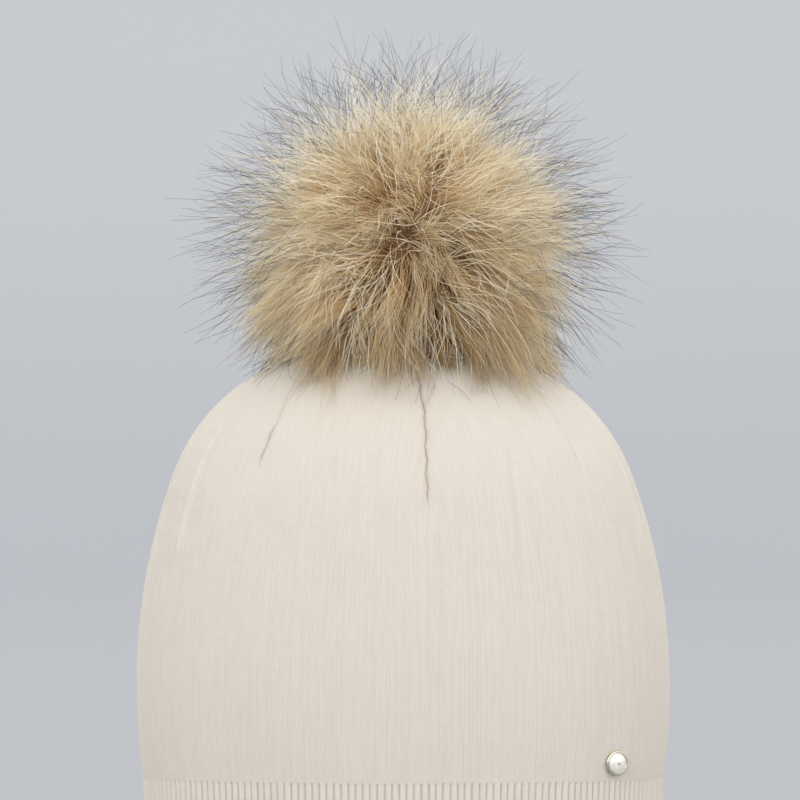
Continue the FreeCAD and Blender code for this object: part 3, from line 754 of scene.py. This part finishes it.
def make_badge():
    """A polished dome in a rounded bezel, with a plain bead and a ring of small hollows."""
    place = badge_axis()
    cap = 3.9 * MM
    edge = BADGE_BODY / 2
    gap = 0.05 * MM
    bezel = (
        [(cap + gap, 0), (BADGE_RADIUS - edge, 0)]
        + arc_points(BADGE_RADIUS - edge, edge, edge, -90, 90, 13)
        + [(cap + 6 * gap, BADGE_BODY), (cap + gap, BADGE_BODY - 5 * gap), (cap + gap, 0)]
    )
    ring = lathe("badge_ring", bezel, MATERIALS["gold"], place)
    rise = 1.1 * MM
    dome_radius = (cap**2 + rise**2) / (2 * rise)
    half_angle = math.degrees(math.asin(cap / dome_radius))
    dome_middle = BADGE_BODY - 3 * gap + rise - dome_radius
    dome = [(0, 0), (cap, 0)] + arc_points(0, dome_middle, dome_radius, 90 - half_angle, 90, 30)

    def hollows(turn, radius):
        near = np.exp(-(((radius - 1.35 * MM) / (0.28 * MM)) ** 2))
        return -0.16 * MM * near * (0.5 + 0.5 * np.cos(8 * turn)) ** 2

    top = lathe("badge_dome", dome, MATERIALS["dome"], place, ripple=hollows)
    bead_foot = dome_middle + dome_radius - 0.1 * MM
    bead = [(0, bead_foot)] + arc_points(0, bead_foot, 0.62 * MM, 0, 90, 9)
    centre = lathe("badge_bead", bead, MATERIALS["gold"], place, segments=48)
    for piece, node in ((ring, "badge_bezel"), (top, "badge_cap"), (centre, "badge_center")):
        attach(piece, "hat")
        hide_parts(node)


# ---------------------------------------------------------------- care label

def make_care_label():
    """A blank satin label, sewn in at its top edge and a little curled below."""
    low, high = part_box("care_label")
    width, length = high.x - low.x, high.z - low.z
    wall = 0.18 * MM
    columns, rows = 25, 33
    across = np.linspace(-0.5, 0.5, columns)[None, :]
    share = np.linspace(0, 1, rows)[:, None]
    middle = (low.y + high.y) / 2
    depth = middle - 1.3 * MM * share**2 + 0.5 * MM * np.sin(across * 5 + 1.2) * share
    front = np.stack(
        [across * width + 0 * share, depth, high.z - share * length + 0 * across], axis=-1
    ).reshape(-1, 3)
    back = front + np.array([0, wall, 0])
    quads = quads_of_grid(rows, columns, closed=False)
    count = rows * columns
    rim = list(range(columns)) + [columns * r - 1 for r in range(2, rows + 1)]
    rim += list(range(count - 2, count - columns - 1, -1))
    rim += [columns * r for r in range(rows - 2, 0, -1)]
    edges = [(a, b, b + count, a + count) for a, b in zip(rim, rim[1:] + rim[:1])]
    faces = np.concatenate([quads[:, ::-1], quads + count, np.array(edges)])
    piece = mesh_piece("satin_label", np.concatenate([front, back]), faces, MATERIALS["label"])
    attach(piece, "hat")
    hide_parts("care_label")


# ---------------------------------------------------------------- pom pom

_, pelt_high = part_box("pom_pelt")
_, socket_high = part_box("socket_backing_disc")
PELT_RADIUS = pelt_high.x
POM_CENTRE = np.array([0.0, 0.0, pelt_high.z - PELT_RADIUS])
CROWN_GAP = 2.2 * MM
SOCKET_GAP = 2.6 * MM
DEPTH_LIMIT = cad_high.y + 0.03 * (cad_high.y - cad_low.y) + 8 * MM
TOP_LIMIT = cad_high.z + 0.03 * (cad_high.z - cad_low.z) + 8 * MM
PARTING_X = 0.19


def hair_colours(*stops):
    """Colour stops for a hair, from root to tip: (share of its length, colour)."""
    return np.array([s[0] for s in stops]), np.array([s[1] for s in stops])


UNDER_COLOURS = hair_colours(
    (0.0, srgb(148, 108, 64)),
    (0.30, srgb(190, 149, 97)),
    (0.55, srgb(227, 193, 141)),
    (0.80, srgb(246, 223, 178)),
    (1.0, srgb(252, 240, 211)),
)
DARK_TIPPED = hair_colours(
    (0.0, srgb(150, 114, 74)),
    (0.35, srgb(222, 196, 152)),
    (0.50, srgb(252, 244, 222)),
    (0.67, srgb(250, 242, 224)),
    (0.75, srgb(112, 108, 110)),
    (1.0, srgb(48, 50, 58)),
)
PALE_TIPPED = hair_colours(
    (0.0, srgb(150, 114, 74)),
    (0.35, srgb(222, 196, 152)),
    (0.65, srgb(252, 241, 214)),
    (1.0, srgb(240, 216, 172)),
)
GOLD_TINT = srgb(196, 146, 76)
# A darker taupe, partly the coat's own colour and partly painted shade.
TAUPE_AND_SHADE_TINT = srgb(112, 92, 74)


def clear_of_hat(place):
    """Moves points that would reach into the crown, the socket or past the allowed box."""
    floor = crown_top(np.hypot(place[..., 0], place[..., 1] / DEPTH_RATIO)) + CROWN_GAP
    height = np.maximum(place[..., 2], floor)
    radius = np.hypot(place[..., 0], place[..., 1])
    room = socket_high.x + SOCKET_GAP
    beside_socket = (height < socket_high.z + 6 * MM) & (radius < room)
    widen = np.where(beside_socket, room / np.maximum(radius, 1e-6), 1.0)
    moved = np.stack([place[..., 0] * widen, place[..., 1] * widen, height], axis=-1)
    moved[..., 1] = np.clip(moved[..., 1], -DEPTH_LIMIT, DEPTH_LIMIT)
    moved[..., 2] = np.minimum(moved[..., 2], TOP_LIMIT)
    return moved


def even_directions(count, rng, jitter):
    """Directions spread evenly over a ball, shaken a little."""
    steps = np.arange(count) + 0.5
    height = 1 - 2 * steps / count
    turn = steps * math.pi * (1 + math.sqrt(5))
    level = np.sqrt(1 - height**2)
    spread = np.stack([level * np.cos(turn), level * np.sin(turn), height], axis=-1)
    return unit(spread + rng.normal(0, jitter, (count, 3)))


def parting(direction):
    """Which way the coat is combed: away from an upright parting at the front and at the back."""
    parting_x = PARTING_X * np.where(direction[:, 1] < 0, 1.0, -1.0)
    aside = direction[:, 0] - parting_x
    above = direction[:, 2] - np.clip(direction[:, 2], -0.6, 0.25)
    comb = np.stack([aside, 0 * aside, above], axis=-1)
    apart = np.linalg.norm(comb, axis=1)
    facing = smooth_step(0.15, 0.9, np.abs(direction[:, 1]))
    pull = smooth_step(0.02, 0.45, apart) * (1 - 0.35 * smooth_step(0.6, 1.1, apart))
    return unit(comb + 1e-4) * (facing * pull)[:, None]


def grow(direction, length, steps, curl, droop, comb, seed):
    """Paths that grow from the pelt: out along direction, combed, curling and sinking."""
    heading = unit(direction + comb)
    hanging = smooth_step(0.1, 0.6, -direction[:, 2]) * (1 - 0.6 * np.abs(direction[:, 0]))
    sink = np.array([0, 0, -2]) * (droop + 0.6 * hanging)[:, None]
    place = POM_CENTRE + direction * PELT_RADIUS
    path = [place]
    for step in range(steps):
        share = (step + 1) / steps
        wander = flow(place + direction * 20 * MM, seed, 26 * MM) * curl
        wander = wander + flow(place, seed + 1, 9 * MM) * curl * 0.5 * share
        heading = unit(heading + wander / steps * 2 + sink * share / steps)
        place = clear_of_hat(place + heading * (length / steps)[:, None])
        path.append(place)
    return np.stack(path, axis=1)


def along_path(path, share):
    """Points at shares of a path's steps, by straight runs between them."""
    steps = path.shape[1] - 1
    at = np.clip(share, 0, 1) * steps
    low = np.minimum(at.astype(int), steps - 1)
    part = (at - low)[..., None]
    rows = np.arange(len(path))[:, None]
    return path[rows, low] * (1 - part) + path[rows, low + 1] * part


ATLAS_COLUMNS = 100


def hair_atlas(count, rings):
    """A cell of the UV square for each hair, with its length up the cell and its girth across it."""
    cell = np.arange(count)
    rows = math.ceil(count / ATLAS_COLUMNS)
    left, low = cell % ATLAS_COLUMNS, cell // ATLAS_COLUMNS
    girth = np.array([0, 1, 1, 0]) / 3
    sides = (np.arange(3) / 3)[None, None, :, None] + girth
    length = np.arange(rings - 1)[None, :, None, None] + np.array([0, 0, 1, 1])
    across = (left[:, None, None, None] + 0.05 + 0.9 * sides) / ATLAS_COLUMNS
    along = (low[:, None, None, None] + 0.05 + 0.9 * length / (rings - 1)) / rows
    quad_places = np.stack(np.broadcast_arrays(across, along), axis=-1)
    middle = (left + 0.5) / ATLAS_COLUMNS
    ends = np.stack([(low + 0.02) / rows, (low + 0.98) / rows], axis=-1)
    nudge = np.array([-0.3, 0.3, 0.0]) / ATLAS_COLUMNS
    cap_across = middle[:, None, None] + nudge
    cap_along = ends[:, :, None] + np.array([0, 0, 0.01]) / rows
    cap_places = np.stack(np.broadcast_arrays(cap_across, cap_along), axis=-1)
    return np.concatenate([quad_places.reshape(-1, 2), cap_places.reshape(-1, 2)])


def hair_piece(name, line, width, colours, roundness, material):
    """A mesh of three-sided tapering hairs along lines, shaded as one soft coat."""
    count, rings, _ = line.shape
    tangent = unit(np.gradient(line, axis=1))
    rng = np.random.default_rng(len(name) + count)
    side = unit(np.cross(tangent, unit(rng.normal(size=(count, 1, 3)))))
    other = np.cross(tangent, side)
    spin = np.arange(3) / 3 * TURN
    around = np.cos(spin)[:, None] * side[:, :, None, :] + np.sin(spin)[:, None] * other[:, :, None, :]
    points = line[:, :, None, :] + around * width[:, :, None, None]
    outward = unit(line - POM_CENTRE)[:, :, None, :]
    normals = unit(outward * roundness + around * (1 - roundness)).reshape(-1, 3)
    first = np.arange(count)[:, None, None] * (rings * 3)
    quads = (first + quads_of_grid(rings, 3)).reshape(-1, 4)
    last = (rings - 1) * 3
    caps = (first + np.array([[0, 2, 1], [last, last + 1, last + 2]])).reshape(-1, 3)
    piece = mesh_piece(name, points.reshape(-1, 3), quads, material, triangles=caps)
    colour_points(piece, "hair", np.repeat(colours.reshape(-1, 3), 3, axis=0))
    layer = piece.data.uv_layers.new(name="OFBake")
    layer.data.foreach_set("uv", hair_atlas(count, rings).astype(np.float32).ravel())
    piece.data.normals_split_custom_set_from_vertices(normals)
    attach(piece, "pom")
    return piece


def painted(line, share, stops, tone, gold, taupe_and_shade):
    """Each point's colour: by its share of the hair, its tuft's tone and the coat's patches; the taupe
    patches are partly the coat's own colour and partly painted shade.
    """
    at, colours = stops
    colour = np.stack([np.interp(share, at, colours[:, i]) for i in range(3)], axis=-1)
    colour = colour * tone[:, None, None]
    colour = colour / np.maximum(colour.max(axis=-1, keepdims=True), 1)
    gold_share = (gold[:, None] * (1 - np.abs(share - 0.55)))[..., None]
    colour = colour * (1 - gold_share) + GOLD_TINT * gold_share * 0.9
    # The taupe patches darken the hair, partly as painted shade.
    taupe_and_shade_share = (taupe_and_shade[:, None] * (1 - share * 0.6))[..., None]
    return np.clip(colour * (1 - taupe_and_shade_share) + TAUPE_AND_SHADE_TINT * 0.8 * taupe_and_shade_share, 0, 1)


def near_spot(direction, spot, width):
    """How near each direction is to a spot on the ball, from 0 to 1."""
    apart = np.linalg.norm(direction - unit(np.array(spot, float)), axis=-1)
    return np.exp(-((apart / width) ** 2))


GOLD_SPOTS = (
    ((0.30, -0.75, -0.75), 0.26),
    ((-0.42, -0.62, -0.85), 0.22),
    ((0.75, 0.5, -0.3), 0.3),
    ((-0.5, 0.75, 0.2), 0.25),
)
# Taupe patches: darker hair, and partly painted shade where the parting is seen at the front.
TAUPE_AND_SHADE_SPOTS = (
    ((0.16, -0.95, 0.12), 0.32),
    ((0.30, -0.90, -0.45), 0.30),
    ((-0.35, -0.9, -0.1), 0.2),
    ((-0.1, 0.95, 0.2), 0.35),
)


def patches(direction, spots, strength):
    """The sum of a colour's patches at each direction."""
    return np.clip(sum(near_spot(direction, spot, width) for spot, width in spots), 0, 1) * strength


UNDER_TUFTS = 1000
UNDER_PER_TUFT = 42
UNDER_RINGS = 6
UNDER_PIECES = 7
UNDER_LENGTH = 39 * MM
UNDER_RADIUS = 0.15 * MM


def coat_length(direction):
    """How long the coat is on each side of the pelt: short on top, longer below where it hangs."""
    up = np.clip(direction[:, 2], 0, 1)
    down = smooth_step(0.1, 0.75, -direction[:, 2])
    corner = down * smooth_step(0.25, 0.7, np.abs(direction[:, 0]))
    return (1 - 0.30 * up**2 + 0.58 * down + 0.10 * corner) * (1 + 0.13 * direction[:, 0])


def make_underfur():
    """Dense wavy underfur, in tufts that narrow towards their tips."""
    rng = np.random.default_rng(77)
    direction = even_directions(UNDER_TUFTS, rng, 0.05)
    direction[:, 2] = np.maximum(direction[:, 2], -0.80)
    direction = unit(direction)
    comb = parting(direction) + flow(direction, 41, 1.3) * 0.24
    length = UNDER_LENGTH * coat_length(direction) * rng.uniform(0.82, 1.12, UNDER_TUFTS)
    path = grow(direction, length, 12, 0.46, 0.42, comb, 43)
    # Painted light: hair that hangs below is painted lighter, making up for the shade under the ball,
    # and hair on top is a little darker.
    below = smooth_step(-0.05, 0.5, -direction[:, 2])
    above = smooth_step(0.2, 0.9, direction[:, 2])
    tone = rng.uniform(0.88, 1.08, UNDER_TUFTS) * (1 + 0.5 * below - 0.14 * above)
    gold = patches(direction, GOLD_SPOTS, 0.8)
    taupe_and_shade = patches(direction, TAUPE_AND_SHADE_SPOTS, 0.5)
    tuft = np.repeat(np.arange(UNDER_TUFTS), UNDER_PER_TUFT)
    count = len(tuft)
    share = np.linspace(0, 1, UNDER_RINGS)[None, :]
    reach = rng.uniform(0.66, 1.04, count)[:, None]
    line = along_path(path[tuft], share * reach)
    spread = rng.normal(0, 1.25 * MM, (count, 3))
    widen = (1 + 1.7 * share) * (1 - 0.38 * share**2)
    frizz = rng.normal(0, 1.6 * MM, (count, 3))
    line = line + spread[:, None, :] * widen[..., None] + frizz[:, None, :] * (share**2)[..., None]
    line = line + flow(line, 51, 7 * MM) * (0.6 * MM * share)[..., None]
    line = clear_of_hat(line)
    width = UNDER_RADIUS * (1 - 0.8 * share**1.5) * rng.uniform(0.8, 1.2, count)[:, None]
    own_tone = tone[tuft] * rng.uniform(0.88, 1.12, count)
    colour = painted(line, share * reach, UNDER_COLOURS, own_tone, gold[tuft], taupe_and_shade[tuft])
    for part in range(UNDER_PIECES):
        chosen = np.flatnonzero(tuft % UNDER_PIECES == part)
        shape = line[chosen], width[chosen], colour[chosen]
        piece = hair_piece(f"underfur_{part}", *shape, 0.6, MATERIALS["under_hair"])
        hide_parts("pom_fur")


GUARD_HAIRS = 6000
GUARD_CLUSTERS = 420
GUARD_RINGS = 11
GUARD_PIECES = 2
GUARD_RADIUS = 0.13 * MM


def guard_starts(rng):
    """Where the long hairs start, in loose clusters that are fewer at the front and the back."""
    middle = even_directions(GUARD_CLUSTERS, rng, 0.12)
    middle[:, 2] = np.maximum(middle[:, 2], -0.72)
    facing = smooth_step(0.4, 0.8, np.abs(middle[:, 1]))
    left = 0.28 * smooth_step(0.1, 0.8, -middle[:, 0])
    middle = unit(middle[rng.uniform(0, 1, GUARD_CLUSTERS) > 0.6 * facing + left])
    cluster = rng.integers(0, len(middle), GUARD_HAIRS)
    return unit(middle[cluster] + rng.normal(0, 0.10, (GUARD_HAIRS, 3))), cluster


def make_guard_hairs():
    """Long coarse hairs that arch and cross: cream shafts, and slate tips round the outline."""
    rng = np.random.default_rng(91)
    direction, cluster = guard_starts(rng)
    shared = rng.normal(0, 0.2, (GUARD_CLUSTERS, 3))[cluster]
    comb = parting(direction) * 0.7 + flow(direction, 61, 0.7) * 0.3
    comb = comb + shared + rng.normal(0, 0.2, (GUARD_HAIRS, 3))
    top = np.clip(direction[:, 2], 0, 1)
    length = rng.uniform(38, 68, GUARD_HAIRS) * MM * (1 - 0.08 * top) * (1 + 0.06 * direction[:, 0])
    path = grow(direction, length, 14, 0.95, 0.3, comb, 63)
    bow = unit(rng.normal(size=(GUARD_HAIRS, 3))) * rng.uniform(0, 16, (GUARD_HAIRS, 1)) * MM
    share = np.linspace(0, 1, GUARD_RINGS)[None, :]
    line = along_path(path, np.broadcast_to(share, (GUARD_HAIRS, GUARD_RINGS)))
    line = line + bow[:, None, :] * (share**2.2)[..., None]
    rounds = rng.uniform(0.5, 1.3, (GUARD_HAIRS, 1))
    wave = np.sin(TURN * (share * rounds + rng.uniform(0, 1, (GUARD_HAIRS, 1)))) * share
    waver = unit(rng.normal(size=(GUARD_HAIRS, 3))) * rng.uniform(0.5, 4, (GUARD_HAIRS, 1)) * MM
    line = clear_of_hat(line + waver[:, None, :] * wave[..., None])
    taper = np.minimum(1, 1.25 - 0.95 * share**2)
    width = GUARD_RADIUS * taper * rng.uniform(0.7, 1.2, GUARD_HAIRS)[:, None]
    tone = rng.uniform(0.85, 1.1, GUARD_HAIRS)
    none = np.zeros(GUARD_HAIRS)
    slid = np.clip(share + rng.normal(0, 0.05, (GUARD_HAIRS, 1)), 0, 1)
    dark_share = 0.92 - 0.84 * smooth_step(0.35, 0.75, np.abs(direction[:, 1]))
    dark = rng.uniform(0, 1, GUARD_HAIRS) < dark_share
    colour = np.where(
        dark[:, None, None],
        painted(line, slid, DARK_TIPPED, tone, none, none),
        painted(line, slid, PALE_TIPPED, tone, none, none),
    )
    for part in range(GUARD_PIECES):
        chosen = np.arange(part, GUARD_HAIRS, GUARD_PIECES)
        shape = line[chosen], width[chosen], colour[chosen]
        piece = hair_piece(f"guard_hair_{part}", *shape, 0.35, MATERIALS["guard_hair"])
        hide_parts("pom_fur")


def ball_piece(name, radius, bumps, seed, material, rows=64, columns=96):
    """A closed lumpy ball about the pom pom's centre."""
    latitude = np.linspace(0, math.pi, rows)[:, None]
    turn = (np.arange(columns) / columns * TURN)[None, :]
    level = np.sin(latitude)
    direction = np.stack(
        [level * np.cos(turn), level * np.sin(turn), -np.cos(latitude) + 0 * turn], axis=-1
    )
    lump = flow(direction.reshape(-1, 3), seed, 0.5).reshape(direction.shape)[..., 0]
    points = POM_CENTRE + direction * (radius + bumps * lump)[..., None]
    points = clear_of_hat(points).reshape(-1, 3)
    piece = mesh_piece(name, points, quads_of_grid(rows, columns), material)
    weld(piece)
    return piece


def make_pom_core():
    """The matted roots of the coat, and the pelt gathered over its stuffing."""
    matted = ball_piece("matted_roots", 35 * MM, 1.6 * MM, 71, MATERIALS["under_hair"])
    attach(matted, "pom")
    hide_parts("pom_fur")
    colour = np.broadcast_to(srgb(138, 104, 68), (len(matted.data.vertices), 3))
    colour_points(matted, "hair", colour)
    pelt = ball_piece("gathered_pelt", PELT_RADIUS - 0.9 * MM, 0.35 * MM, 72, MATERIALS["hide"])
    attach(pelt, "pom")
    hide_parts("pom_pelt")


# ---------------------------------------------------------------- metal, thread and felt from the CAD

KEPT = {
    "steel": (
        "snap_post_cap", "snap_stud", "snap_socket", "socket_rivet", "badge_post",
        "badge_backing_washer",
    ),
    "wire": ("socket_spring",),
    "felt": ("crown_patch", "socket_backing_disc"),
    "thread": (
        "shell_to_rib_seam", "lining_to_rib_seam", "crown_gather_thread", "outer_dart_seams",
        "lining_dart_seams", "care_label_stitches", "shank_thread", "gathering_thread",
        "closing_stitches",
    ),
    "wadding": ("pom_stuffing",),
}


def finish_cad_nodes():
    """Gives the CAD's own small parts their materials."""
    for material, nodes in KEPT.items():
        for node in nodes:
            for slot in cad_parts[node].material_slots:
                slot.link = "OBJECT"
                slot.material = MATERIALS[material]


# ---------------------------------------------------------------- studio

FLOOR_RADIUS = 5.0
WALL_REACH = 3.4
WALL_RISE = 1.2
AIR_STRENGTH = 1.10
CAMERA_DISTANCE = 3.556
VIEW_MIDDLE = Vector((-1.2 * MM, 0, 202.4 * MM))
LENS = 400
# The floor colour is darker than the wall colour as painted light: it makes up for the stronger light
# on the floor.
BACKDROP = srgb(167, 170, 174)
FLOOR = srgb(155, 158, 164)


def make_backdrop():
    """A pale seamless bowl: a flat floor that curves up all round."""
    profile = [(r, 0.0) for r in np.linspace(0, FLOOR_RADIUS, 9)]
    for a in np.linspace(0, math.pi / 2, 16)[1:]:
        profile.append((FLOOR_RADIUS + WALL_REACH * math.sin(a), WALL_RISE * (1 - math.cos(a))))
    profile = np.array(profile)
    turn = np.arange(96) / 96 * TURN
    across, height = profile[:, :1], profile[:, 1:] - 0.2 * MM + 0 * turn
    points = np.stack([across * np.cos(turn), across * np.sin(turn), height], axis=-1)
    made, tree, shader = new_material("backdrop_paper", BACKDROP, 0.95)
    place = tree.nodes.new("ShaderNodeSeparateXYZ")
    tree.links.new(tree.nodes.new("ShaderNodeTexCoord").outputs["Object"], place.inputs[0])
    # Painted light: the floor is darker and the wall lighter, so the bowl looks evenly bright under
    # uneven light.
    up = calculate(tree, "MINIMUM", times(tree, place.outputs[2], 2.0), 1.0)
    wall = blend_colours(tree, noise(tree, 0.7, 2.0), BACKDROP * 0.98, BACKDROP * 1.02)
    tone = blend_colours(tree, up, FLOOR, wall)
    tree.links.new(tone, shader.inputs["Base Color"])
    floor = mesh_piece("backdrop", points.reshape(-1, 3), quads_of_grid(len(profile), 96), made)
    weld(floor)


def soft_sun(name, toward, strength, spread):
    """A wide, soft light from a direction. Spread is its width in degrees."""
    lamp = bpy.data.lights.new(name, "SUN")
    lamp.energy = strength
    lamp.angle = math.radians(spread)
    holder = bpy.data.objects.new(name, lamp)
    holder.location = Vector(toward) * 3
    holder.rotation_euler = Vector(toward).to_track_quat("Z", "Y").to_euler()
    scene.collection.objects.link(holder)


def make_studio():
    make_backdrop()
    soft_sun("key_left", (-0.5, -0.9, 0.28), 1.25, 50)
    soft_sun("fill_right", (0.8, -0.8, 0.2), 1.28, 60)
    soft_sun("back_soft", (0.1, 0.9, 0.7), 0.7, 60)
    world = bpy.data.worlds.new("studio_air")
    world.use_nodes = True
    world.node_tree.nodes["Background"].inputs["Color"].default_value = (*srgb(254, 253, 252), 1)
    world.node_tree.nodes["Background"].inputs["Strength"].default_value = AIR_STRENGTH
    scene.world = world
    camera = bpy.data.cameras.new("camera")
    camera.lens = LENS
    camera.clip_end = 60
    holder = bpy.data.objects.new("camera", camera)
    holder.location = VIEW_MIDDLE + Vector((0, -CAMERA_DISTANCE, 0))
    holder.rotation_euler = (math.pi / 2, 0, 0)
    scene.collection.objects.link(holder)
    scene.camera = holder
    scene.view_settings.view_transform = "Standard"


make_outer_shell()
make_lining()
make_rib_band()
make_badge()
make_care_label()
make_pom_core()
make_underfur()
make_guard_hairs()
finish_cad_nodes()
make_studio()
